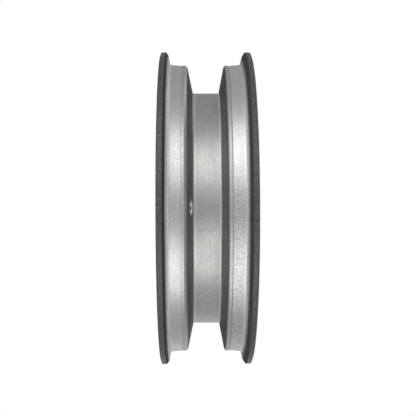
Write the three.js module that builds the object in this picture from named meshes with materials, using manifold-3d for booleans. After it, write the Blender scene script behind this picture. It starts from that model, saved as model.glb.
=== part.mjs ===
import * as THREE from "three";
import { mergeVertices } from "three/addons/utils/BufferGeometryUtils.js";
import Module from "manifold-3d";

// One-piece cast wheel for a tubeless tyre, turning on two shielded ball bearings.
// Millimetres. The origin is the wheel's centre and the axle lies along Y: left is -Y, right is +Y.
// Outlines of turned pieces list [radius, distance along the axle, corner radius] for the right side.

const wasm = await Module();
wasm.setup();

// Rim
const TIP_R = 166; // flange tips
const TIP_FLAT = [41.5, 45.6]; // the narrow flat round each tip
const OUTER_FACE = 47.3; // flat outer faces of the flanges
const SEAT_R = 153; // bead seat at the foot of the flange
const HUMP_R = 152.35; // safety hump that keeps the bead on its seat
const FLOOR_R = 122.9; // drop-centre well
const FLOOR_HALF = 13.9;
const WALL_TOP = [150.8, 19.1]; // where the well's wall meets the seat
const SEAT_UNDER_R = 147.3;
const FLOOR_UNDER_R = 118.4;
const RIM_SEGMENTS = 48;

// Valve hole, in the left wall of the well
const VALVE_R = 133.5;
const VALVE_HOLE_R = 4.15;
const VALVE_SPOT_R = 8.6;
const VALVE_SPOT_FACE = 17.65;
const VALVE_BOSS_R = 10.5;
const VALVE_BOSS_FACE = 23.9;

// Spokes
const SPOKES = 5;
const SPOKE_WEB_HALF = 3.5;
const SPOKE_RIB = 3.5;
const WINDOW_R = [38, 113]; // inner and outer edge of the gaps between spokes
const SPOKE_HALF = [11, 9]; // half the spoke's width at those two edges
const SPOKE_FACE = [15, 11]; // half the spoke's depth at the hub and at the rim

// Hub
const HUB_HALF = 43;
const HUB_R = [29, 27]; // where the spokes leave it, and at its ends
const SHOULDER = 24.9; // the bearings stop here
const HUB_BORE_R = 13.5;
const DISC_PCD_R = 38;
const DISC_BOSS_R = [11, 9.5];
const DISC_FACE = 36;
const DISC_THREAD_R = 3.4;
const DISC_THREAD_DEPTH = 18;

// Bearings, 15 x 35 x 11
const BEARING_BORE_R = 7.5;
const BEARING_R = 17.5;
const BEARING_HALF = 5.5;
const BEARING_MID = SHOULDER + 0.1 + BEARING_HALF;
const BALLS = 8;
const BALL_R = 2.975;
const PITCH_R = 12.5;
const GAP = 0.1; // between pieces that touch
const FIT = 0.05; // round a pressed-in ring
const SEGMENTS = 20;

const SIDES = { left: -1, right: 1 };
const group = new THREE.Group();

// Corners joined into a closed outline; a corner's third number rounds it with an arc of that radius.
function outline(corners) {
  const points = corners.map(([a, b]) => new THREE.Vector2(a, b));
  return corners.flatMap(([, , radius = 0], i) => {
    const corner = points[i];
    if (!radius) return [corner];
    const back = points.at(i - 1).clone().sub(corner).normalize();
    const ahead = points[(i + 1) % points.length].clone().sub(corner).normalize();
    const half = Math.acos(back.dot(ahead)) / 2;
    const cut = radius / Math.tan(half);
    const centre = back.clone().add(ahead).setLength(radius / Math.sin(half)).add(corner);
    const start = back.clone().multiplyScalar(cut).add(corner);
    const turn = (Math.PI - 2 * half) * Math.sign(ahead.cross(back));
    const steps = Math.max(1, Math.round(Math.abs(turn) / 0.7));
    return Array.from({ length: steps + 1 }, (_, k) =>
      start.clone().rotateAround(centre, (turn * k) / steps),
    );
  });
}

function solid(geometry) {
  geometry.deleteAttribute("normal");
  geometry.deleteAttribute("uv");
  const merged = mergeVertices(geometry, 1e-4);
  return new wasm.Manifold(
    new wasm.Mesh({
      numProp: 3,
      vertProperties: merged.attributes.position.array,
      triVerts: new Uint32Array(merged.index.array),
    }),
  );
}

// A piece turned about the axle, on the right side or mirrored to the left.
function turned(corners, side = 1, segments = SEGMENTS) {
  const points = outline(corners.map(([r, y, round]) => [r, side * y, round]));
  if (THREE.ShapeUtils.area(points) < 0) points.reverse();
  return solid(new THREE.LatheGeometry([...points, points[0]], segments));
}

// A round bar parallel to the axle, from y0 to y1, with a radius at each end.
function bar(x, z, r0, r1, y0, y1, segments = SEGMENTS) {
  const geometry = new THREE.CylinderGeometry(r1, r0, y1 - y0, segments);
  return solid(geometry.translate(x, (y0 + y1) / 2, z));
}

// An outline in the wheel's plane, turned about the axle by an angle and extruded from y0 to y1.
function slab(corners, angle, y0, y1) {
  const geometry = new THREE.ExtrudeGeometry(new THREE.Shape(outline(corners)), {
    depth: y1 - y0,
    bevelEnabled: false,
  });
  geometry.rotateX(-Math.PI / 2).rotateY(angle);
  return solid(geometry.translate(0, y0, 0));
}

function ball(radius, x, y, z, around, down) {
  return solid(new THREE.SphereGeometry(radius, around, down).translate(x, y, z));
}

const polar = (r, angle) => [r * Math.cos(angle), -r * Math.sin(angle)];

function add(name, body, [color, roughness, metalness]) {
  const { vertProperties, triVerts } = body.getMesh();
  const geometry = new THREE.BufferGeometry();
  geometry.setAttribute("position", new THREE.BufferAttribute(vertProperties, 3));
  geometry.setIndex(new THREE.BufferAttribute(triVerts, 1));
  geometry.computeVertexNormals();
  const material = new THREE.MeshStandardMaterial({ color, roughness, metalness });
  const mesh = new THREE.Mesh(geometry, material);
  mesh.name = name;
  group.add(mesh);
}

const CAST = [0x55555a, 0.6, 0.6];
const RACE_STEEL = [0xc8cacc, 0.18, 1];
const SHIELD_STEEL = [0xa9abad, 0.4, 1];
const TURNED_ALUMINIUM = [0xb4b6b8, 0.35, 1];
const BALL_STEEL = [0xe2e4e6, 0.08, 1];
const NYLON = [0xd8cfae, 0.5, 0];
const RUBBER = [0x1d1d1f, 0.8, 0];

// Half of the casting's section, from the bearing seat round the rim to the well.
function castingHalf() {
  return [
    [HUB_BORE_R, SHOULDER],
    [BEARING_R, SHOULDER],
    [BEARING_R, HUB_HALF - 0.7],
    [BEARING_R + 0.7, HUB_HALF],
    [HUB_R[1] - 1.5, HUB_HALF],
    [HUB_R[1], HUB_HALF - 1.5],
    [HUB_R[0], SPOKE_FACE[0] + 3],
    [HUB_R[0] + 3, SPOKE_FACE[0]],
    [FLOOR_UNDER_R - 4, SPOKE_FACE[1]],
    [FLOOR_UNDER_R, SPOKE_FACE[1] + 4],
    [FLOOR_UNDER_R, 18.5, 4],
    [SEAT_UNDER_R, 24.2, 6],
    [SEAT_UNDER_R, OUTER_FACE - 2],
    [SEAT_UNDER_R + 2, OUTER_FACE],
    [TIP_R - 3.4, OUTER_FACE],
    [TIP_R - 0.4, TIP_FLAT[1] + 0.6],
    [TIP_R, TIP_FLAT[1]],
    [TIP_R, TIP_FLAT[0]],
    [TIP_R - 0.6, TIP_FLAT[0] - 0.7],
    [TIP_R - 2.9, 39.2],
    [SEAT_R, 37.2, 2],
    [HUMP_R - 0.6, 26.5],
    [HUMP_R, 22.9],
    [...WALL_TOP, 1.6],
    [FLOOR_R, FLOOR_HALF, 2],
  ];
}

// The gap between two spokes, centred on +X.
function spokeWindow() {
  const [inner, outer] = WINDOW_R;
  const reach = WINDOW_R.map((r, i) => Math.PI / SPOKES - Math.asin(SPOKE_HALF[i] / r));
  const along = (r, half, share) => polar(r, half * share);
  return [
    [...along(outer, reach[1], -1), 10],
    ...[-0.7, -0.42, -0.14, 0.14, 0.42, 0.7].map((share) => along(outer, reach[1], share)),
    [...along(outer, reach[1], 1), 10],
    [...along(inner, reach[0], 1), 6],
    along(inner, reach[0], 0),
    [...along(inner, reach[0], -1), 6],
  ];
}

// The recess in a spoke's face that leaves a rib along each edge, for a spoke along +X.
function spokePocket(from, to) {
  const half = (r) =>
    THREE.MathUtils.mapLinear(r, ...WINDOW_R, ...SPOKE_HALF) - SPOKE_RIB;
  return [
    [from, -half(from), 4],
    [to, -half(to), 4],
    [to, half(to), 4],
    [from, half(from), 4],
  ];
}

function wheelCasting() {
  const half = castingHalf();
  const mirrored = half.map(([r, y, round]) => [r, -y, round]).reverse();
  let body = turned([...half, ...mirrored], 1, RIM_SEGMENTS);
  for (let i = 0; i < SPOKES; i++) {
    const gap = (2 * Math.PI * i) / SPOKES;
    const spoke = gap + Math.PI / SPOKES;
    const [x, z] = polar(DISC_PCD_R, spoke);
    body = body
      .subtract(slab(spokeWindow(), gap, -20, 20))
      .subtract(slab(spokePocket(44, 104), spoke, SPOKE_WEB_HALF, 20))
      .subtract(slab(spokePocket(54, 104), spoke, -20, -SPOKE_WEB_HALF))
      .add(bar(x, z, DISC_BOSS_R[1], DISC_BOSS_R[0], -DISC_FACE, -10))
      .subtract(
        bar(x, z, DISC_THREAD_R, DISC_THREAD_R, -DISC_FACE - 1, DISC_THREAD_DEPTH - DISC_FACE, 16),
      );
  }
  return body
    .add(bar(VALVE_R, 0, VALVE_BOSS_R - 0.5, VALVE_BOSS_R, -VALVE_BOSS_FACE, -18))
    .subtract(bar(VALVE_R, 0, VALVE_SPOT_R, VALVE_SPOT_R, -VALVE_SPOT_FACE, 0))
    .subtract(bar(VALVE_R, 0, VALVE_HOLE_R, VALVE_HOLE_R, -VALVE_BOSS_FACE - 1, 0, 16));
}

function addBearing(name, side) {
  const mid = (y) => BEARING_MID + y;
  const ring = (corners) => turned(corners.map(([r, y]) => [r, mid(y)]), side);
  const shield = (y0, y1) => ring([[11.2, y0], [15.4, y0], [15.4, y1], [11.2, y1]]);
  add(
    name + "_inner_ring",
    ring([
      [BEARING_BORE_R, -5.1],
      [7.9, -BEARING_HALF],
      [10.9, -BEARING_HALF],
      [10.9, -2.6],
      [9.8, -1.5],
      [9.4, 0],
      [9.8, 1.5],
      [10.9, 2.6],
      [10.9, BEARING_HALF],
      [7.9, BEARING_HALF],
      [BEARING_BORE_R, 5.1],
    ]),
    RACE_STEEL,
  );
  add(
    name + "_outer_ring",
    ring([
      [15.5, -BEARING_HALF],
      [17, -BEARING_HALF],
      [BEARING_R - FIT, -5],
      [BEARING_R - FIT, 5],
      [17, BEARING_HALF],
      [15.5, BEARING_HALF],
      [15.5, 4.5],
      [14.4, 4.5],
      [14.4, 2.5],
      [15.35, 1.5],
      [15.72, 0],
      [15.35, -1.5],
      [14.4, -2.5],
      [14.4, -4.5],
      [15.5, -4.5],
    ]),
    RACE_STEEL,
  );
  let cage = ring([[11.6, -2.4], [13.4, -2.4], [13.4, 4.1], [11.6, 4.1]]);
  for (let i = 0; i < BALLS; i++) {
    const [x, z] = polar(PITCH_R, (2 * Math.PI * i) / BALLS);
    cage = cage.subtract(ball(BALL_R + 0.35, x, side * BEARING_MID, z, 10, 6));
    add(`${name}_ball_${i + 1}`, ball(BALL_R, x, side * BEARING_MID, z, 10, 6), BALL_STEEL);
  }
  add(name + "_cage", cage, NYLON);
  add(name + "_inboard_shield", shield(-5.3, -4.6), SHIELD_STEEL);
  add(name + "_outboard_shield", shield(4.6, 5.3), SHIELD_STEEL);
}

// The sleeve that spans from the bearing's inner ring to the fork.
function sideCollar(side) {
  const start = BEARING_MID + BEARING_HALF + GAP;
  return turned(
    [
      [7.65, start],
      [10.4, start],
      [10.4, start + 0.8],
      [12, start + 0.8],
      [12, 46],
      [11, 47],
      [8.4, 47],
      [7.65, 46.3],
    ],
    side,
  );
}

// A rubber ring with a main lip and a dust lip that run on the collar.
function dustSeal(side) {
  return turned(
    [
      [BEARING_R - FIT, 36.6],
      [BEARING_R - FIT, 42.4],
      [13.3, 42.4],
      [12.2, 41.7],
      [12.2, 41],
      [13.1, 40.4],
      [12.2, 38.9],
      [12.2, 38.2],
      [13.6, 38.2],
      [14.4, 41],
      [16.2, 41],
      [16.2, 36.6],
    ],
    side,
  );
}

add("wheel_casting", wheelCasting(), CAST);
add(
  "bearing_spacer",
  turned([[7.7, -24.9], [10, -24.9], [10, 24.9], [7.7, 24.9]]),
  TURNED_ALUMINIUM,
);
for (const [name, side] of Object.entries(SIDES)) {
  addBearing(name + "_bearing", side);
  add(name + "_collar", sideCollar(side), TURNED_ALUMINIUM);
  add(name + "_dust_seal", dustSeal(side), RUBBER);
}

export default group;
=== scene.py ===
import math

import bmesh
import bpy
from mathutils import Matrix, Vector


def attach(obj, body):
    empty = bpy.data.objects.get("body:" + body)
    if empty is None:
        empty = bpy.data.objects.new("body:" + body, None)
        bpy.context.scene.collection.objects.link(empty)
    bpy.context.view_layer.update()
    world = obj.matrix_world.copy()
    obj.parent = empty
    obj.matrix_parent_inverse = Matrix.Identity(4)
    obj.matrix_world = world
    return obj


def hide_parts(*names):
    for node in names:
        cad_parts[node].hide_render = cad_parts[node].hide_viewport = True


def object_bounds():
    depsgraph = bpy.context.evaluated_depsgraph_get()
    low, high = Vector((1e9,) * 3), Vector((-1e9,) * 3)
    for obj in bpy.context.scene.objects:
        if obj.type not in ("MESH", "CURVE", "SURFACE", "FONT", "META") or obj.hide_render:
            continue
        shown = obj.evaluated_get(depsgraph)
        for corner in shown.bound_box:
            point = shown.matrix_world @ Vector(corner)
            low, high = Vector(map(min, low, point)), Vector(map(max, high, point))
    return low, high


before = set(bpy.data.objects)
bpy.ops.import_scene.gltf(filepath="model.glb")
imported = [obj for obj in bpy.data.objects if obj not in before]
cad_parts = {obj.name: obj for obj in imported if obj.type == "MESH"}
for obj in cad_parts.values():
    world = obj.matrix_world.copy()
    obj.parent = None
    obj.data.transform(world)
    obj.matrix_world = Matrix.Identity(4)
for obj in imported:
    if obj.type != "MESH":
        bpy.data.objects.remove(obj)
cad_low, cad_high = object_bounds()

MM = 0.001  # sizes are in millimetres until they are multiplied by this
FULL = 2 * math.pi
RIM_STEPS = 256  # segments round the rim
HUB_STEPS = 96  # and round the hub's bores and the cages
SMALL_STEPS = 64  # and round the other pieces
SPOKES = 5
SHARP = math.radians(32)  # an edge that turns further is drawn sharp
STRAIGHT = math.radians(178)  # a corner as open as this is no corner
TINY, SMALL = 1e-7, 1e-6  # metres: closer points are joined, and shorter edges dissolved
CLEANINGS = 3  # splitting faces can leave new ones with no area
scene = bpy.context.scene


# ---------------------------------------------------------------- materials


class Nodes:
    """Short calls for building one material's node tree."""

    def __init__(self, name):
        self.material = bpy.data.materials.new(name)
        self.material.use_nodes = True
        self.tree = self.material.node_tree
        self.tree.nodes.clear()
        self.out = self.add("ShaderNodeOutputMaterial")
        self.shader = self.add("ShaderNodeBsdfPrincipled")
        self.link(self.shader.outputs[0], self.out.inputs["Surface"])
        self.coords = self.add("ShaderNodeTexCoord").outputs["Object"]

    def add(self, kind, **settings):
        node = self.tree.nodes.new(kind)
        for key, value in settings.items():
            setattr(node, key, value)
        return node

    def link(self, a, b):
        self.tree.links.new(a, b)

    def set(self, **values):
        for key, value in values.items():
            socket = self.shader.inputs[key.replace("_", " ")]
            if isinstance(value, bpy.types.NodeSocket):
                self.link(value, socket)
            else:
                socket.default_value = value

    def math(self, operation, a, b=0.0, clamp=False):
        node = self.add("ShaderNodeMath", operation=operation, use_clamp=clamp)
        for socket, value in zip(node.inputs, (a, b)):
            if isinstance(value, bpy.types.NodeSocket):
                self.link(value, socket)
            else:
                socket.default_value = value
        return node.outputs[0]

    def noise(self, scale, detail=2.0, rough=0.5, vector=None, distortion=0.0):
        node = self.add("ShaderNodeTexNoise")
        node.inputs["Scale"].default_value = scale
        node.inputs["Detail"].default_value = detail
        node.inputs["Roughness"].default_value = rough
        node.inputs["Distortion"].default_value = distortion
        self.link(vector or self.coords, node.inputs["Vector"])
        return node.outputs[0]

    def remap(self, value, low, high, to_low, to_high):
        node = self.add("ShaderNodeMapRange")
        self.link(value, node.inputs["Value"])
        for key, number in zip(
            ("From Min", "From Max", "To Min", "To Max"), (low, high, to_low, to_high)
        ):
            node.inputs[key].default_value = number
        return node.outputs[0]

    def mix(self, share, a, b):
        node = self.add("ShaderNodeMix", data_type="RGBA")
        if isinstance(share, bpy.types.NodeSocket):
            self.link(share, node.inputs[0])
        else:
            node.inputs[0].default_value = share
        for socket, value in zip((node.inputs[6], node.inputs[7]), (a, b)):
            if isinstance(value, bpy.types.NodeSocket):
                self.link(value, socket)
            else:
                socket.default_value = (*value, 1.0)
        return node.outputs[2]

    def bump(self, height, strength, distance, under=None):
        node = self.add("ShaderNodeBump")
        node.inputs["Strength"].default_value = strength
        node.inputs["Distance"].default_value = distance
        self.link(height, node.inputs["Height"])
        if under:
            self.link(under, node.inputs["Normal"])
        return node.outputs[0]

    def position(self):
        """The sockets of x, y, z and the distance from the axle, in metres."""
        split = self.add("ShaderNodeSeparateXYZ")
        self.link(self.coords, split.inputs[0])
        x, y, z = split.outputs
        squares = self.math("ADD", self.math("MULTIPLY", x, x), self.math("MULTIPLY", z, z))
        return x, y, z, self.math("SQRT", squares)

    def turning(self, across, along=14.0):
        """Coordinates that vary fast across a turned surface and slowly round the axle."""
        x, y, z, radius = self.position()
        profile = self.math("ADD", y, self.math("MULTIPLY", radius, 0.83))
        join = self.add("ShaderNodeCombineXYZ")
        self.link(self.math("MULTIPLY", x, along), join.inputs[0])
        self.link(self.math("MULTIPLY", profile, across), join.inputs[1])
        self.link(self.math("MULTIPLY", z, along), join.inputs[2])
        return join.outputs[0]


# Metres, the height of bumps at full strength.
PAINT_RELIEF, METAL_RELIEF, FINE_RELIEF = 0.00035, 0.0004, 0.0001


def sand_paint(name, tone, grain, roughness, strength, shine, contrast):
    """Dark sand-textured paint: fine raised grains, faint mottling, a few worn lighter specks.

    grain is how many grains a metre holds, strength how raised they are, and contrast how far
    their tone varies.
    """
    n = Nodes(name)
    fine = n.noise(grain, 3.0, 0.6)
    broad = n.noise(38.0, 2.0)
    specks = n.remap(n.noise(grain * 0.8, 1.0), 0.66, 0.74, 0.0, 1.0)
    light, dark = [c * (1 + contrast) for c in tone], [c * (1 - contrast) for c in tone]
    color = n.mix(n.remap(fine, 0.3, 0.7, 0.0, 1.0), dark, light)
    color = n.mix(n.remap(broad, 0.35, 0.65, 0.0, 0.22), color, [c * 1.45 for c in tone])
    color = n.mix(n.math("MULTIPLY", specks, contrast), color, [c * 3.2 for c in tone])
    rough = n.remap(fine, 0.3, 0.7, roughness + 0.08, roughness - 0.08)
    n.set(Base_Color=color, Metallic=0.0, Roughness=rough)
    n.set(Normal=n.bump(fine, strength, PAINT_RELIEF))
    n.shader.inputs["Specular IOR Level"].default_value = shine
    return n.material


def bare_metal(
    name,
    tone,
    roughness,
    speck,
    streak,
    speck_scale=900.0,
    across=2600.0,
    bump=0.25,
    cloud=0.16,
    fade=None,
    highlight_calm=None,
):
    """Machined aluminium: turning lines round the axle, a stippled grain and a faint clouding.

    speck, streak and cloud are how dark the grain, the lines and the clouds are. speck_scale and
    across are how many grains and lines a metre holds, and bump is how raised both are.
    fade is two radii, between which a dusting of paint grows, and its share past the larger one.
    The last argument holds two heights, between which the grain weakens, and its share above the
    higher one: a painted highlight, the surface lighter and smoother towards the top.
    """
    n = Nodes(name)
    lines = n.noise(1.0, 3.0, 0.6, n.turning(across))
    grain = n.noise(speck_scale, 3.0, 0.62)
    share = 1.0
    if highlight_calm:
        share = n.remap(n.position()[2], highlight_calm[0] * MM, highlight_calm[1] * MM, 1.0, highlight_calm[2])
    specks = n.math("MULTIPLY", n.remap(grain, 0.36, 0.64, 0.0, speck), share)
    haze = n.noise(26.0, 4.0, 0.6, distortion=0.6)
    color = n.mix(specks, [min(1, c * 1.08) for c in tone], [c * 0.45 for c in tone])
    color = n.mix(n.remap(lines, 0.35, 0.65, 0.0, streak), color, [c * 0.72 for c in tone])
    color = n.mix(n.remap(haze, 0.38, 0.68, 0.0, cloud), color, [c * 0.7 for c in tone])
    if fade:
        dust = n.remap(n.position()[3], fade[0] * MM, fade[1] * MM, 0.0, fade[2])
        color = n.mix(dust, color, (0.01, 0.01, 0.01))
    lined = n.remap(lines, 0.3, 0.7, roughness - 0.04, roughness + 0.05)
    rough = n.math("ADD", lined, n.remap(grain, 0.3, 0.7, -0.06, 0.08))
    n.set(Base_Color=color, Metallic=1.0, Roughness=rough)
    height = n.math("ADD", n.math("MULTIPLY", lines, 0.4), n.math("MULTIPLY", grain, share))
    n.set(Normal=n.bump(height, bump, METAL_RELIEF))
    return n.material


def polished_steel(name, tone, roughness, across=4200.0):
    """Ground steel with faint lines and a film of oil."""
    n = Nodes(name)
    lines = n.noise(1.0, 2.0, 0.5, n.turning(across, 10.0))
    film = n.noise(160.0, 3.0)
    color = n.mix(n.remap(film, 0.4, 0.7, 0.0, 0.35), tone, [c * 0.7 for c in tone])
    rough = n.remap(lines, 0.3, 0.7, roughness * 0.7, roughness * 1.5)
    n.set(Base_Color=color, Metallic=1.0, Roughness=rough)
    n.set(Normal=n.bump(lines, 0.12, FINE_RELIEF))
    return n.material


def rubber(name):
    """Black rubber with a film of dust."""
    n = Nodes(name)
    fine, dust = n.noise(1400.0, 2.0), n.noise(120.0, 4.0, 0.6)
    color = n.mix(n.remap(dust, 0.5, 0.75, 0.0, 0.4), (0.018, 0.018, 0.019), (0.07, 0.068, 0.064))
    n.set(Base_Color=color, Roughness=n.remap(fine, 0.3, 0.7, 0.5, 0.68))
    n.set(Normal=n.bump(fine, 0.2, FINE_RELIEF))
    return n.material


def nylon(name):
    """Ivory moulded nylon with fibres that run round the axle."""
    n = Nodes(name)
    fibre = n.noise(1.0, 2.0, 0.5, n.turning(900.0, 220.0))
    color = n.mix(n.remap(fibre, 0.35, 0.65, 0.0, 1.0), (0.66, 0.58, 0.36), (0.74, 0.68, 0.47))
    n.set(Base_Color=color, Roughness=n.remap(fibre, 0.3, 0.7, 0.38, 0.52))
    n.set(Normal=n.bump(fibre, 0.15, FINE_RELIEF))
    n.shader.inputs["Subsurface Weight"].default_value = 0.1
    n.shader.inputs["Subsurface Radius"].default_value = (0.002, 0.0015, 0.001)
    return n.material


PAINT = sand_paint(
    "flange_paint", (0.076, 0.076, 0.0785), grain=560.0, roughness=0.42, strength=1.3, shine=0.9,
    contrast=0.68,
)
WALL_PAINT = sand_paint(
    "wall_paint", (0.125, 0.123, 0.119), grain=500.0, roughness=0.45, strength=0.35, shine=0.4,
    contrast=0.2,
)
# A darker copy of the wall paint along the wall's top edge, next to the hump: painted shade.
EDGE_SHADE_PAINT = sand_paint(
    "wall_edge_painted_shade", (0.085, 0.084, 0.081), grain=500.0, roughness=0.45, strength=0.35,
    shine=0.4, contrast=0.2,
)
# A darker, duller copy of the paint on the flanges' inner faces and inner tip corners: painted
# shade.
INNER_SHADE_PAINT = sand_paint(
    "inner_flange_painted_shade", (0.064, 0.064, 0.065), grain=700.0, roughness=0.7, strength=0.3,
    shine=0.2, contrast=0.3,
)
SEAT = bare_metal(
    "machined_seat", (0.945, 0.94, 0.925), roughness=0.38, speck=0.48, streak=0.45,
    speck_scale=780.0, across=900.0, bump=0.35,
)
# Its grain weakens from 12 mm to 48 mm above the axle: a painted highlight on the upper seat.
STIPPLED = bare_metal(
    "stippled_seat", (0.94, 0.937, 0.92), roughness=0.38, speck=0.8, streak=0.25,
    speck_scale=700.0, across=900.0, bump=0.62, highlight_calm=(12.0, 48.0, 0.42),
)
HUMP = bare_metal(
    "machined_hump", (0.76, 0.757, 0.745), roughness=0.42, speck=0.4, streak=0.4,
    speck_scale=620.0,
)
FLOOR = bare_metal(
    "turned_floor", (0.82, 0.806, 0.782), roughness=0.43, speck=0.36, streak=0.45,
    speck_scale=600.0, across=1300.0, bump=0.26, cloud=0.6,
)
# Brighter metal where the well's walls round into its floor: painted highlight along the floor's
# edges.
EDGE = bare_metal("well_edge_painted_highlight", (0.95, 0.94, 0.92), roughness=0.5, speck=0.1, streak=0.1)
SOFT_EDGE = bare_metal(
    "well_left_edge_painted_highlight", (0.90, 0.885, 0.86), roughness=0.44, speck=0.2, streak=0.5,
    speck_scale=480.0, across=1900.0, bump=0.22, cloud=0.3,
)
TAUPE = bare_metal(
    "left_flange_metal", (0.98, 0.965, 0.93), roughness=0.56, speck=0.12, streak=0.1,
    fade=(157.5, 165.0, 0.4),
)
DUSTED = bare_metal(
    "right_flange_metal", (0.89, 0.88, 0.86), roughness=0.42, speck=0.12, streak=0.1,
    fade=(155.2, 160.0, 0.88),
)
RECESS = bare_metal("shaded_recess", (0.34, 0.34, 0.335), roughness=0.5, speck=0.2, streak=0.3)
# Darker metal in the right seat's tool groove: painted shade in the groove.
GROOVE = bare_metal("tool_groove_painted_shade", (0.66, 0.66, 0.65), roughness=0.5, speck=0.2, streak=0.3)
FACED = bare_metal(
    "faced_metal", (0.70, 0.70, 0.70), roughness=0.42, speck=0.15, streak=0.4, speck_scale=700.0,
    across=3000.0, bump=0.2,
)
THREAD = bare_metal(
    "thread_metal", (0.42, 0.42, 0.42), roughness=0.45, speck=0.2, streak=0.8, speck_scale=600.0,
    across=5200.0, bump=0.6,
)
COLLAR = bare_metal(
    "collar_metal", (0.78, 0.78, 0.79), roughness=0.3, speck=0.03, streak=0.35,
    speck_scale=1500.0, across=5200.0, bump=0.04,
)
RACE = polished_steel("race_steel", (0.60, 0.61, 0.62), roughness=0.16)
SHIELD = polished_steel("shield_steel", (0.52, 0.53, 0.54), roughness=0.3)
BALL = polished_steel("ball_steel", (0.72, 0.73, 0.74), roughness=0.07, across=500.0)
SEAL = rubber("seal_rubber")
CAGE = nylon("cage_nylon")


# ---------------------------------------------------------------- mesh tools


def outline(corners, arc=7, near=0.5, longest=6.0, closed=True):
    """The outline of [radius, y, corner radius, material] corners, with its corners rounded.

    Each corner's material runs from that corner to the next. arc is the steps in a quarter turn.
    Straight runs get points at the distance near from their ends, so that smooth shading stays
    inside the arcs, and others no further apart than longest. Returns [(r, y, material), ...].
    """
    count = len(corners)
    spots = [Vector(c[:2]) for c in corners]
    rounded = []
    for i, (_, _, radius, stuff) in enumerate(corners):
        spot = spots[i]
        if not radius:
            rounded.append([(spot, stuff)])
            continue
        back = (spots[i - 1] - spot).normalized()
        ahead = (spots[(i + 1) % count] - spot).normalized()
        half = math.acos(max(-1.0, min(1.0, back.dot(ahead)))) / 2
        centre = spot + (back + ahead).normalized() * radius / math.sin(half)
        start = spot + back * radius / math.tan(half) - centre
        turn = (math.pi - 2 * half) * (1 if ahead.cross(back) > 0 else -1)
        steps = max(2, round(abs(turn) / (math.pi / 2) * arc))
        turns = [Matrix.Rotation(turn * k / steps, 2) for k in range(steps + 1)]
        rounded.append([(centre + part @ start, stuff) for part in turns])
    points = []
    for i, run in enumerate(rounded):
        points += run
        here, stuff = run[-1]
        to = rounded[(i + 1) % count][0][0] - here
        if to.length > 3 * near and (closed or i < count - 1):
            inner = to.length - 2 * near
            cuts = max(1, math.ceil(inner / longest))
            along = [near + inner * k / cuts for k in range(cuts + 1)]
            points += [(here + to.normalized() * far, stuff) for far in along]
    return [(p.x, p.y, stuff) for p, stuff in points]


def sided(corners, side):
    """The outline of a right-hand piece, or mirrored for the left."""
    return [[c[0], side * c[1], *c[2:]] for c in corners]


def finish_mesh(bm, name, materials):
    """A new object with outward faces, smooth shading and hard edges kept sharp."""
    bmesh.ops.remove_doubles(bm, verts=bm.verts, dist=TINY)
    bmesh.ops.recalc_face_normals(bm, faces=bm.faces)
    if bm.calc_volume(signed=True) < 0:
        bmesh.ops.reverse_faces(bm, faces=bm.faces)
    mesh = bpy.data.meshes.new(name)
    for material in materials:
        mesh.materials.append(material)
    bm.to_mesh(mesh)
    bm.free()
    obj = bpy.data.objects.new(name, mesh)
    scene.collection.objects.link(obj)
    shade(obj)
    return obj


def shade(obj):
    """Smooth shading, with the edges that turn further than SHARP left sharp."""
    bm = bmesh.new()
    bm.from_mesh(obj.data)
    for face in bm.faces:
        face.smooth = True
    for edge in bm.edges:
        edge.smooth = len(edge.link_faces) == 2 and edge.calc_face_angle(0.0) < SHARP
    bm.to_mesh(obj.data)
    bm.free()


def turned(name, corners, steps=SMALL_STEPS, arc=5, **spacing):
    """A piece turned about the axle, from the corners of its section."""
    return spun(name, outline(corners, arc, **spacing), steps)


def spun(name, points, steps):
    """A closed outline's points, swept round the axle."""
    materials = list(dict.fromkeys(stuff for *_, stuff in points))
    bm = bmesh.new()
    rings = []
    for k in range(steps):
        c, s = math.cos(FULL * k / steps), math.sin(FULL * k / steps)
        rings.append([bm.verts.new((r * c * MM, y * MM, r * s * MM)) for r, y, _ in points])
    for k, ring in enumerate(rings):
        after = rings[(k + 1) % steps]
        for i, (_, _, stuff) in enumerate(points):
            j = (i + 1) % len(points)
            face = bm.faces.new((ring[i], ring[j], after[j], after[i]))
            face.material_index = materials.index(stuff)
    return finish_mesh(bm, name, materials)


def bar(name, x, z, profile, steps=48):
    """A round solid parallel to the axle. profile is [(radius, y), ...] from end to end."""
    bm = bmesh.new()
    rings = [
        [
            bm.verts.new(((x + r * math.cos(a)) * MM, y * MM, (z + r * math.sin(a)) * MM))
            for a in (FULL * k / steps for k in range(steps))
        ]
        for r, y in profile
    ]
    for low, high in zip(rings, rings[1:]):
        for k in range(steps):
            j = (k + 1) % steps
            bm.faces.new((low[k], low[j], high[j], high[k]))
    bm.faces.new(rings[0])
    bm.faces.new(rings[-1])
    return finish_mesh(bm, name, [FACED])


def slab(name, points, low, high, draft=0.0):
    """An outline in the wheel's plane extruded along the axle; draft widens the high end."""
    middle = Vector((sum(p[0] for p in points), sum(p[1] for p in points))) / len(points)
    spots = [Vector(p) for p in points]
    bm = bmesh.new()
    ends = []
    for y, grow in ((low, 0.0), (high, draft)):
        grown = [p + (p - middle).normalized() * grow for p in spots]
        ends.append([bm.verts.new((p.x * MM, y * MM, p.y * MM)) for p in grown])
    count = len(points)
    for i in range(count):
        j = (i + 1) % count
        bm.faces.new((ends[0][i], ends[0][j], ends[1][j], ends[1][i]))
    bm.faces.new(ends[0])
    bm.faces.new(ends[1])
    return finish_mesh(bm, name, [PAINT])


def bake_modifiers(obj):
    """Puts what the modifiers make in place of the object's mesh."""
    evaluated = obj.evaluated_get(bpy.context.evaluated_depsgraph_get())
    mesh = bpy.data.meshes.new_from_object(evaluated)
    old = obj.data
    obj.modifiers.clear()
    obj.data = mesh
    bpy.data.meshes.remove(old)


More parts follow.
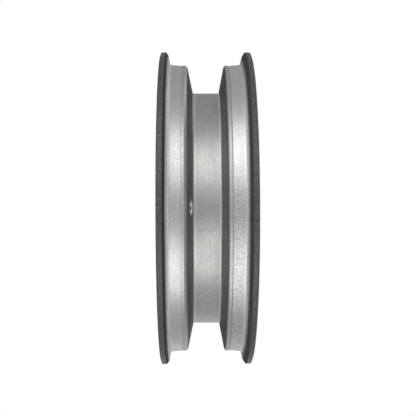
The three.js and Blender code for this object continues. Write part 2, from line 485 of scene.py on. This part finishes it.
def merged(objects, name):
    """One object that holds all of these objects' faces."""
    bm = bmesh.new()
    for obj in objects:
        bm.from_mesh(obj.data)
        bpy.data.objects.remove(obj)
    mesh = bpy.data.meshes.new(name)
    bm.to_mesh(mesh)
    bm.free()
    joined = bpy.data.objects.new(name, mesh)
    scene.collection.objects.link(joined)
    return joined


def carve(obj, cutter, operation="DIFFERENCE"):
    """Cuts one object out of another, or joins it on, and removes it."""
    modifier = obj.modifiers.new("carve", "BOOLEAN")
    modifier.operation = operation
    modifier.solver = "EXACT"
    modifier.use_self = False
    modifier.object = cutter
    bpy.context.view_layer.update()
    bake_modifiers(obj)
    bpy.data.objects.remove(cutter)


def clean(obj):
    """Splits the many-cornered faces that the cuts leave, and removes those with no area."""
    bm = bmesh.new()
    bm.from_mesh(obj.data)

    def split():
        poor = [
            face
            for face in bm.faces
            if len(face.verts) > 4
            or (len(face.verts) == 4 and max(loop.calc_angle() for loop in face.loops) > STRAIGHT)
        ]
        bmesh.ops.triangulate(bm, faces=poor, ngon_method="BEAUTY")

    for _ in range(CLEANINGS):
        split()
        bmesh.ops.dissolve_degenerate(bm, edges=bm.edges, dist=SMALL)
    split()
    bm.to_mesh(obj.data)
    bm.free()


def polar(radius, angle):
    return radius * math.cos(angle), radius * math.sin(angle)


def place(obj, body, slot, *nodes):
    """Puts the piece on the body it rides on and hides the CAD nodes it replaces. slot is not
    used.
    """
    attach(obj, body)
    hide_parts(*nodes)


# ---------------------------------------------------------------- rim

# Radii are from the axle, and distances from the wheel's middle plane.
TIP_R, OUTER_FACE = 166.0, 47.3
SEAT_R, HUMP_R, FLOOR_R = 153.0, 152.35, 122.9
WELL_UNDER_R, SEAT_UNDER_R = 118.4, 147.3  # the rim's underside
FLOOR_HALF, FLANGE_IN, FLANGE_FOOT = 13.9, 39.8, 37.2
SEAT_FALL, SEAT_END = 1.15, 24.0  # how far the seat's cone falls, and where
GROOVE_DEPTH = 0.3
CREST_MID = 18.0  # the hump's crest is rounder the further it reaches beyond this
WALL_TOP = (150.1, 19.0)
VALVE_R = 133.5  # the valve hole's distance from the axle
HOLE_R, SPOT_R, SPOT_FACE = 4.15, 8.6, 17.65
BOSS_FACE = 23.9


def rim_half(
    paint_edge,
    flange_metal,
    ramp,
    seat_metal,
    groove,
    groove_half,
    groove_metal,
    hump,
    paint_top,
    wall_foot,
    foot_metal,
    foot_end,
):
    """The right half of the rim's section, between the middles of its underside and of its floor.

    The flange's inner face is bare below the radius paint_edge and meets the seat in a ramp,
    whose two corners are given as [radius, y, corner radius]. A tool left a shallow groove in
    the seat, at the distance groove from the middle. The hump's crest ends at the distance hump,
    the wall's paint at the point paint_top, and the wall meets the floor at wall_foot, where
    foot_metal runs on to foot_end.
    """

    def flange(r):
        return FLANGE_FOOT + (FLANGE_IN - FLANGE_FOOT) * (r - SEAT_R) / (TIP_R - SEAT_R)

    def seat(y):
        return SEAT_R - SEAT_FALL * (FLANGE_FOOT - y) / (FLANGE_FOOT - SEAT_END)

    return [
        [WELL_UNDER_R, 18.5, 4, PAINT],
        [SEAT_UNDER_R, 24.2, 6, PAINT],
        [SEAT_UNDER_R, OUTER_FACE, 2.5, PAINT],
        [162.4, OUTER_FACE, 3.0, PAINT],
        [TIP_R, 46.1, 1.0, PAINT],
        # The inner face near the tip takes the darker paint: painted shade.
        [TIP_R, 41.2, 1.0, INNER_SHADE_PAINT],
        [163.2, flange(163.2) + 0.1, 1.2, INNER_SHADE_PAINT],
        [paint_edge, flange(paint_edge), 0, flange_metal],
        *([*corner, metal] for corner, metal in zip(ramp, (flange_metal, seat_metal))),
        [seat(groove + groove_half), groove + groove_half, 0, groove_metal],
        [seat(groove) - GROOVE_DEPTH, groove, 0, groove_metal],
        [HUMP_R - 0.1, groove - groove_half, 0, HUMP],
        [HUMP_R, hump, 0.45 * (hump - CREST_MID), HUMP],
        # The wall's top edge takes the darker paint: painted shade.
        [*paint_top, 0, EDGE_SHADE_PAINT],
        [*WALL_TOP, 0.6, EDGE_SHADE_PAINT],
        [148.6, 18.73, 0, WALL_PAINT],
        [FLOOR_R, wall_foot, 1.6, foot_metal],
        [FLOOR_R, foot_end, 0, FLOOR],
    ]


def section(corners):
    """One half's points, from the middle of the rim's underside to the middle of its floor."""
    ends = [[WELL_UNDER_R, 0.0, 0, PAINT], *corners, [FLOOR_R, 0.0, 0, FLOOR]]
    return outline(ends, 8, near=0.35, longest=5.0, closed=False)


right_half = section(
    rim_half(
        paint_edge=161.4,
        flange_metal=DUSTED,
        ramp=([153.0, 37.1, 2.6], [152.85, 34.6, 0]),
        seat_metal=STIPPLED,
        groove=23.6,
        groove_half=0.5,
        groove_metal=GROOVE,
        hump=20.6,
        paint_top=(151.0, 19.3),
        wall_foot=FLOOR_HALF,
        foot_metal=EDGE,
        foot_end=12.4,
    )
)
left_half = section(
    rim_half(
        paint_edge=162.5,
        flange_metal=TAUPE,
        ramp=([153.5, 37.5, 0.5], [152.8, 35.0, 9.0]),
        seat_metal=SEAT,
        groove=24.8,
        groove_half=0.25,
        groove_metal=SEAT,
        hump=21.7,
        paint_top=(150.4, 19.2),
        wall_foot=FLOOR_HALF - 0.4,
        foot_metal=SOFT_EDGE,
        foot_end=9.8,
    )
)
# The left half mirrored and reversed: each run's material now belongs to its other end.
across = [(r, -y, before[2]) for before, (r, y, _) in zip(left_half, left_half[1:])][::-1]
rim = spun("rim", right_half + across[1:], RIM_STEPS)
boss_profile = [(11.6, -17.8), (11.2, -20.8), (10.4, -21.8), (10.1, -23.4), (9.7, -BOSS_FACE)]
carve(rim, bar("valve_boss", VALVE_R, 0.0, boss_profile), "UNION")
spot_profile = [(SPOT_R, 4.0), *((SPOT_R, 0.45 * k - SPOT_FACE) for k in range(8, -1, -1))]
carve(rim, bar("spot_cutter", VALVE_R, 0.0, spot_profile, 64))
hole_profile = [(HOLE_R, y) for y in (2.0, -17.1, -17.2, -26.0)]
carve(rim, bar("hole_cutter", VALVE_R, 0.0, hole_profile))


def repaint(obj, test, material):
    """Gives a material to every face whose centre, in millimetres, and normal pass the test."""
    mesh = obj.data
    if material.name not in mesh.materials:
        mesh.materials.append(material)
    index = mesh.materials.find(material.name)
    for face in mesh.polygons:
        if test(face.center / MM, face.normal):
            face.material_index = index


def round_valve(p):
    """How far a point is from the valve hole's axis."""
    return math.hypot(p.x - VALVE_R, p.z)


def wall_at(p):
    """How far the well's wall is from the middle, at the radius of a point."""
    rise = (math.hypot(p.x, p.z) - FLOOR_R) / (WALL_TOP[0] - FLOOR_R)
    return FLOOR_HALF + rise * (WALL_TOP[1] - FLOOR_HALF)


def in_spot(p):
    return p.x > 0 and round_valve(p) < SPOT_R + 0.02 and p.y > -SPOT_FACE - 0.02


def in_hole(p):
    level = 0.1 - BOSS_FACE < p.y < 0.1 - SPOT_FACE
    return p.x > 0 and round_valve(p) < HOLE_R + 0.05 and level


BOSS_REACH = 14  # a little more than the boss's radius
SHADED = 1.3  # how far below the wall's face the shade on the spot face's side starts
repaint(rim, lambda p, n: p.x > 0 and round_valve(p) < BOSS_REACH and p.y < -18.9, PAINT)
repaint(rim, lambda p, n: in_spot(p) and p.y < -13.6, FACED)
repaint(rim, lambda p, n: in_spot(p) and p.y < -SHADED - wall_at(p), RECESS)
repaint(rim, lambda p, n: in_hole(p), FACED)
clean(rim)
shade(rim)
place(rim, "wheel", "cast_aluminium", "wheel_casting")


# ---------------------------------------------------------------- hub and spokes

WINDOW_R = (38.0, 113.0)  # the gaps between the spokes, from and to
SPOKE_HALF = (11.0, 9.0)  # half a spoke's width at those two radii
RIB = 3.5  # the rib on each side of a spoke's pocket, and half the web between two pockets
DISC_PCD_R, DISC_FACE, THREAD_R = 38.0, 36.0, 3.4
HUB_HALF, BEARING_R, SHOULDER, HUB_BORE_R = 43.0, 17.5, 24.9, 13.5
STOCK = 1.5  # cast metal that is machined away from the faces of the hub and the bosses
VOXEL = 1.35 * MM


def flat_outline(corners):
    """The outline of (x, z, corner radius) corners in the wheel's plane: [(x, z), ...]."""
    points = outline([[*c, PAINT] for c in corners], 6, near=0.01, longest=400)
    return [(x, z) for x, z, _ in points]


def turned_by(points, angle):
    """The points, turned round the axle."""
    spin = Matrix.Rotation(angle, 2)
    return [tuple(spin @ Vector(p)) for p in points]


def disc_boss_at(i):
    """The middle of a boss for the brake disc, in line with a spoke."""
    return polar(DISC_PCD_R, FULL * i / SPOKES + math.pi / SPOKES)


def spoke_window():
    """The outline of the gap between two spokes, middle on the first axis."""
    reach = [math.pi / SPOKES - math.asin(h / r) for h, r in zip(SPOKE_HALF, WINDOW_R)]
    outer = [(*polar(WINDOW_R[1], reach[1] * k / 14), 0) for k in range(-10, 11)]
    inner = [(*polar(WINDOW_R[0], reach[0] * k / 4), 0) for k in (1, 0, -1)]
    return flat_outline(
        [
            (*polar(WINDOW_R[1], -reach[1]), 10),
            *outer,
            (*polar(WINDOW_R[1], reach[1]), 10),
            (*polar(WINDOW_R[0], reach[0]), 6),
            *inner,
            (*polar(WINDOW_R[0], -reach[0]), 6),
        ]
    )


def spoke_pocket(start, end):
    """The outline of the pocket in a spoke, from one radius to another."""

    def half(r):
        share = (r - WINDOW_R[0]) / (WINDOW_R[1] - WINDOW_R[0])
        return SPOKE_HALF[0] + (SPOKE_HALF[1] - SPOKE_HALF[0]) * share - RIB

    reach = ((start, -1), (end, -1), (end, 1), (start, 1))
    return flat_outline([(r, side * half(r), 4) for r, side in reach])


web_half = [
    [0.0, HUB_HALF + STOCK, 0, PAINT],
    [27.0, HUB_HALF + STOCK, 0, PAINT],
    [29.0, 15.0, 6, PAINT],
    [WELL_UNDER_R, 11.0, 5, PAINT],
    [118.6, 18.0, 0, PAINT],
    [120.8, 18.2, 0, PAINT],
]
whole_web = web_half + sided(web_half[::-1], -1)
spider = turned("spokes_and_hub", whole_web, 160, 5)
bm = bmesh.new()
bm.from_mesh(spider.data)
bmesh.ops.remove_doubles(bm, verts=bm.verts, dist=SMALL)
bmesh.ops.dissolve_degenerate(bm, edges=bm.edges, dist=TINY)
bm.to_mesh(spider.data)
bm.free()

gaps = []
for i in range(SPOKES):
    gap = FULL * i / SPOKES
    spoke = gap + math.pi / SPOKES
    gaps.append(slab(f"gap_{i}", turned_by(spoke_window(), gap), -30, 30))
    gaps.append(slab(f"right_pocket_{i}", turned_by(spoke_pocket(44, 104), spoke), RIB, 30, 0.8))
    gaps.append(slab(f"left_pocket_{i}", turned_by(spoke_pocket(54, 104), spoke), -RIB, -30, 0.8))
carve(spider, merged(gaps, "gap_cutter"))

bosses = []
for i in range(SPOKES):
    profile = [(11.0, -8.0), (9.6, -DISC_FACE - STOCK)]
    bosses.append(bar(f"disc_boss_{i}", *disc_boss_at(i), profile))
spider = merged([spider, *bosses], "spokes_and_hub")

remesh = spider.modifiers.new("cast", "REMESH")
remesh.mode = "VOXEL"
remesh.voxel_size = VOXEL
smooth = spider.modifiers.new("round", "SMOOTH")
smooth.factor = 0.5
smooth.iterations = 6
bpy.context.view_layer.update()
bake_modifiers(spider)

half_hub = [
    (HUB_BORE_R, SHOULDER),
    (BEARING_R, SHOULDER),
    (BEARING_R, HUB_HALF - 0.7),
    (BEARING_R + 0.7 + STOCK + 1, HUB_HALF + STOCK + 1),
]
bore_profile = [(r, -y) for r, y in half_hub[::-1]] + half_hub
cutters = [bar("bore_cutter", 0.0, 0.0, bore_profile, HUB_STEPS)]
beyond_face = [
    [r, y, 0, FACED] for r, y in ((14.0, HUB_HALF), (60.0, HUB_HALF), (60.0, 60.0), (14.0, 60.0))
]
for side in (-1, 1):
    cutters.append(turned(f"face_cutter_{side}", sided(beyond_face, side), HUB_STEPS))
for cutter in cutters:
    carve(spider, cutter)
# Down to the disc's seat, and then a drilled hole with a chamfered mouth and a pointed end.
drill_profile = [
    (0.02, -15.6),
    (THREAD_R, -DISC_FACE + 18),
    (THREAD_R, -DISC_FACE + 0.8),
    (4.2, -DISC_FACE),
    (4.2, -DISC_FACE - 0.2),
    (14.0, -DISC_FACE - 0.2),
    (14.0, -DISC_FACE - 5),
]
drills = [bar(f"thread_cutter_{i}", *disc_boss_at(i), drill_profile) for i in range(SPOKES)]
carve(spider, merged(drills, "drill_cutter"))

if not spider.data.materials:
    spider.data.materials.append(PAINT)
for face in spider.data.polygons:
    face.material_index = 0


def beside_thread(p):
    """How far a point is from the middle of the nearest thread."""
    return min(math.dist((p.x, p.z), disc_boss_at(i)) for i in range(SPOKES))


def in_bore_or_face(p, n):
    in_bore = math.hypot(p.x, p.z) < BEARING_R + 0.75
    return in_bore or (abs(n.y) > 0.98 and abs(abs(p.y) - HUB_HALF) < 0.05)


def on_disc_seat(p, n):
    level = -0.6 < p.y + DISC_FACE < 0.9
    return level and beside_thread(p) < 11 and abs(n.y) > 0.5


repaint(spider, in_bore_or_face, FACED)
repaint(spider, on_disc_seat, FACED)
repaint(spider, lambda p, n: p.y < -15 and beside_thread(p) < THREAD_R + 0.05, THREAD)
clean(spider)
shade(spider)
place(spider, "wheel", "cast_aluminium", "wheel_casting")


# ---------------------------------------------------------------- axle set and bearings

BEARING_MID, BALL_R, PITCH_R, BALLS = 30.5, 2.975, 12.5, 8
BALL_PLAY, POCKET_PLAY = 0.005, 0.2  # between a ball and its races, and its pocket
ARC_ANGLES = [k * math.pi / 12 for k in range(-6, 7)]  # across a race's groove


def at_bearing(corners):
    """Moves corners given from the bearing's middle to its place."""
    return [[c[0], BEARING_MID + c[1], *c[2:]] for c in corners]


def inner_ring():
    groove = [[10.9 - 1.5 * math.cos(a), 2.55 * math.sin(a), 0, RACE] for a in ARC_ANGLES]
    return at_bearing(
        [[7.52, -5.5, 0.35, RACE], [10.88, -5.5, 0.25, RACE]]
        + groove
        + [[10.88, 5.5, 0.25, RACE], [7.52, 5.5, 0.35, RACE]]
    )


def outer_ring():
    groove = [[14.42 + 1.28 * math.cos(a), 2.5 * math.sin(a), 0, RACE] for a in ARC_ANGLES[::-1]]
    return at_bearing(
        [
            [15.5, -5.48, 0, RACE],
            [17.44, -5.48, 0.4, RACE],
            [17.44, 5.48, 0.4, RACE],
            [15.5, 5.48, 0, RACE],
            [15.5, 4.52, 0, RACE],
            [14.42, 4.52, 0.1, RACE],
        ]
        + groove
        + [[14.42, -4.52, 0.1, RACE], [15.5, -4.52, 0, RACE]]
    )


def shield_ring(face):
    """A pressed steel shield with a rolled rim and a raised ring, face pointing along +Y or -Y."""
    flat = [
        [11.22, 4.65, 0.1, SHIELD],
        [11.22, 5.02, 0.1, SHIELD],
        [12.2, 5.02, 0.3, SHIELD],
        [12.6, 5.26, 0.3, SHIELD],
        [13.6, 5.26, 0.3, SHIELD],
        [14.0, 5.02, 0.3, SHIELD],
        [14.5, 5.02, 0.2, SHIELD],
        [14.7, 5.28, 0.15, SHIELD],
        [15.36, 5.28, 0.2, SHIELD],
        [15.36, 4.65, 0.1, SHIELD],
    ]
    return at_bearing([[r, face * y, q, m] for r, y, q, m in flat])


def collar():
    return [
        [7.66, 36.12, 0.2, COLLAR],
        [10.38, 36.12, 0.2, COLLAR],
        [10.38, 36.9, 0, COLLAR],
        [11.98, 36.9, 0.25, COLLAR],
        [11.98, 44.6, 0, COLLAR],
        [11.7, 44.9, 0, COLLAR],
        [11.7, 45.3, 0, COLLAR],
        [11.98, 45.6, 0, COLLAR],
        [11.98, 46.1, 0.2, COLLAR],
        [11.1, 46.98, 0.2, COLLAR],
        [8.4, 46.98, 0.15, COLLAR],
        [7.66, 46.3, 0.15, COLLAR],
    ]


def dust_seal():
    return [
        [17.44, 36.62, 0.3, SEAL],
        [17.44, 42.38, 0.5, SEAL],
        [16.3, 42.38, 0.2, SEAL],
        [16.0, 42.1, 0.2, SEAL],
        [14.6, 42.1, 0.2, SEAL],
        [14.3, 42.38, 0.2, SEAL],
        [13.4, 42.38, 0.3, SEAL],
        [12.22, 41.7, 0.15, SEAL],
        [12.22, 41.05, 0.1, SEAL],
        [13.1, 40.4, 0.3, SEAL],
        [12.22, 38.9, 0.1, SEAL],
        [12.22, 38.25, 0.1, SEAL],
        [13.6, 38.25, 0.3, SEAL],
        [14.4, 40.95, 0.4, SEAL],
        [16.2, 40.95, 0.4, SEAL],
        [16.2, 36.62, 0.2, SEAL],
    ]


def ball_centre(index, side):
    x, z = polar(PITCH_R, -FULL * index / BALLS)
    return Vector((x, side * BEARING_MID, z)) * MM


def cage(name, side):
    """A crown cage: a ring with a pocket round each ball, open on the inner side."""
    box = ((11.62, -2.35), (13.38, -2.35), (13.38, 4.05), (11.62, 4.05))
    corners = sided(at_bearing([[r, y, 0.3, CAGE] for r, y in box]), side)
    ring = turned(name, corners, HUB_STEPS, 4, near=0.3, longest=1.0)
    pockets = []
    for i in range(BALLS):
        bm = bmesh.new()
        sphere = {"u_segments": 32, "v_segments": 20, "radius": (BALL_R + POCKET_PLAY) * MM}
        bmesh.ops.create_uvsphere(bm, **sphere)
        bmesh.ops.translate(bm, verts=bm.verts, vec=ball_centre(i, side))
        pockets.append(finish_mesh(bm, f"pocket_{i}", [CAGE]))
    carve(ring, merged(pockets, "pocket_cutter"))
    clean(ring)
    shade(ring)
    return ring


def ball(name, index, side):
    bm = bmesh.new()
    bmesh.ops.create_uvsphere(bm, u_segments=32, v_segments=20, radius=(BALL_R - BALL_PLAY) * MM)
    rolled = Matrix.Rotation(0.7 * index + 0.3, 3, "X")
    bmesh.ops.rotate(bm, verts=bm.verts, cent=(0, 0, 0), matrix=rolled)
    bmesh.ops.translate(bm, verts=bm.verts, vec=ball_centre(index, side))
    return finish_mesh(bm, name, [BALL])


spacer = turned(
    "spacer_tube",
    [
        [7.72, -24.88, 0.3, COLLAR],
        [9.98, -24.88, 0.4, COLLAR],
        [9.98, 24.88, 0.4, COLLAR],
        [7.72, 24.88, 0.3, COLLAR],
    ],
)
place(spacer, "axle_set", "turned_aluminium", "bearing_spacer")
for word, side in (("left", -1), ("right", 1)):
    name = word + "_bearing_"
    fine = {"near": 0.2, "longest": 4.0}
    for piece, corners, body, slot, node in (
        (name + "inner_race", inner_ring(), "axle_set", "race_steel", name + "inner_ring"),
        (name + "outer_race", outer_ring(), "wheel", "race_steel", name + "outer_ring"),
        (name + "inner_cover", shield_ring(-1), "wheel", "shield_steel", name + "inboard_shield"),
        (name + "outer_cover", shield_ring(1), "wheel", "shield_steel", name + "outboard_shield"),
        (word + "_side_collar", collar(), "axle_set", "turned_aluminium", word + "_collar"),
        (word + "_hub_seal", dust_seal(), "wheel", "seal_rubber", word + "_dust_seal"),
    ):
        place(turned(piece, sided(corners, side), SMALL_STEPS, 4, **fine), body, slot, node)
    balls = word + "_ball_set"
    place(cage(name + "crown_cage", side), balls, "cage_nylon", name + "cage")
    for i in range(BALLS):
        steel_ball = ball(f"{name}steel_ball_{i + 1}", i, side)
        place(steel_ball, balls, "ball_steel", f"{name}ball_{i + 1}")


# ---------------------------------------------------------------- studio


def glow(name):
    """A plain white surface that shines evenly."""
    material = bpy.data.materials.new(name)
    material.use_nodes = True
    tree = material.node_tree
    tree.nodes.clear()
    shine = tree.nodes.new("ShaderNodeEmission")
    shine.inputs["Color"].default_value = (1.0, 1.0, 1.0, 1.0)
    shine.inputs["Strength"].default_value = 1.0
    out = tree.nodes.new("ShaderNodeOutputMaterial")
    tree.links.new(shine.outputs[0], out.inputs["Surface"])
    return material


def stage_piece(name, bm, material):
    """A piece of the room, which the camera sees and the wheel neither reflects nor is lit by."""
    mesh = bpy.data.meshes.new(name)
    mesh.materials.append(material)
    bm.to_mesh(mesh)
    bm.free()
    obj = bpy.data.objects.new(name, mesh)
    scene.collection.objects.link(obj)
    obj.visible_diffuse = obj.visible_glossy = obj.visible_transmission = False
    obj.visible_shadow = False


ROOM = 8.0  # metres, the backdrop's radius
bm = bmesh.new()
bmesh.ops.create_grid(bm, x_segments=1, y_segments=1, size=ROOM + 1.0)
bmesh.ops.translate(bm, verts=bm.verts, vec=(0, 0, cad_low.z - 0.002))
stage_piece("floor", bm, glow("pale_floor"))
bm = bmesh.new()
bmesh.ops.create_uvsphere(bm, u_segments=48, v_segments=24, radius=ROOM)
stage_piece("backdrop", bm, glow("pale_backdrop"))


def aimed(azimuth, elevation):
    """A direction, from degrees: azimuth 0 is the camera's side, and positive is to its right."""
    a, e = math.radians(azimuth), math.radians(elevation)
    return Vector((math.cos(e) * math.cos(a), math.cos(e) * math.sin(a), math.sin(e)))


WORLD_LIGHT = 0.32
# Parts of the room round the wheel that are darker or brighter than the rest: azimuth and
# elevation of the middle, the angles where the change is whole and where it ends, and the factor.
PATCHES = ((-142, 0, 22, 42, 0.1), (180, -24, 12, 42, 2.1))

world = bpy.data.worlds.new("studio")
scene.world = world
world.use_nodes = True
sky = world.node_tree
background = sky.nodes["Background"]
background.inputs["Color"].default_value = (1.0, 1.0, 1.0, 1.0)
direction = sky.nodes.new("ShaderNodeTexCoord").outputs["Generated"]
level = None
for azimuth, elevation, whole, end, factor in PATCHES:
    toward = sky.nodes.new("ShaderNodeVectorMath")
    toward.operation = "DOT_PRODUCT"
    toward.inputs[1].default_value = aimed(azimuth, elevation)
    sky.links.new(direction, toward.inputs[0])
    fade = sky.nodes.new("ShaderNodeMapRange")
    for key, number in zip(
        ("From Min", "From Max", "To Min", "To Max"),
        (math.cos(math.radians(end)), math.cos(math.radians(whole)), 1.0, factor),
    ):
        fade.inputs[key].default_value = number
    sky.links.new(toward.outputs["Value"], fade.inputs["Value"])
    product = sky.nodes.new("ShaderNodeMath")
    product.operation = "MULTIPLY"
    product.inputs[1].default_value = WORLD_LIGHT
    sky.links.new(fade.outputs["Result"], product.inputs[0])
    if level:
        sky.links.new(level, product.inputs[1])
    level = product.outputs[0]
sky.links.new(level, background.inputs["Strength"])


def softbox(name, azimuth, elevation, distance, width, height, power):
    """A soft panel that faces the wheel, in metres and watts."""
    light = bpy.data.lights.new(name, "AREA")
    light.shape = "RECTANGLE"
    light.size, light.size_y = width, height
    light.energy = power
    obj = bpy.data.objects.new(name, light)
    scene.collection.objects.link(obj)
    toward = aimed(azimuth, elevation)
    obj.location = toward * distance
    obj.rotation_mode = "QUATERNION"
    obj.rotation_quaternion = toward.to_track_quat("Z", "Y")


softbox("upper_box", -21, 41, 1.7, 2.3, 1.3, 10.1)
softbox("lower_box", -10, -45, 1.7, 2.2, 1.4, 8.8)
softbox("rim_light", 115, 60, 1.6, 0.6, 0.6, 1)
softbox("left_fill", -92, 2, 1.9, 1.1, 1.1, 6)
softbox("right_fill", 112, 4, 1.9, 1.1, 1.1, 5)

scene.view_settings.view_transform = "Standard"
scene.view_settings.look = "None"
scene.view_settings.exposure = 0.0
scene.view_settings.gamma = 1.0

# The lens is level with the axle, about a metre in front, and turned a touch towards +Y.
CAMERA_AT = (0.9672, -0.0117, 0.0001)
LENS, PAN, ROLL = 77.37, 0.0147, -0.0029  # millimetres and radians
camera_data = bpy.data.cameras.new("camera")
camera_data.lens = LENS
camera_data.sensor_width = 36.0
camera_data.clip_start, camera_data.clip_end = 0.01, 50.0
camera = bpy.data.objects.new("camera", camera_data)
scene.collection.objects.link(camera)
camera.location = CAMERA_AT
camera.rotation_mode = "QUATERNION"
facing = Vector((-math.cos(PAN), math.sin(PAN), 0.0)).to_track_quat("-Z", "Y")
camera.rotation_quaternion = facing @ Matrix.Rotation(ROLL, 3, "Z").to_quaternion()
scene.camera = camera

bpy.context.view_layer.update()
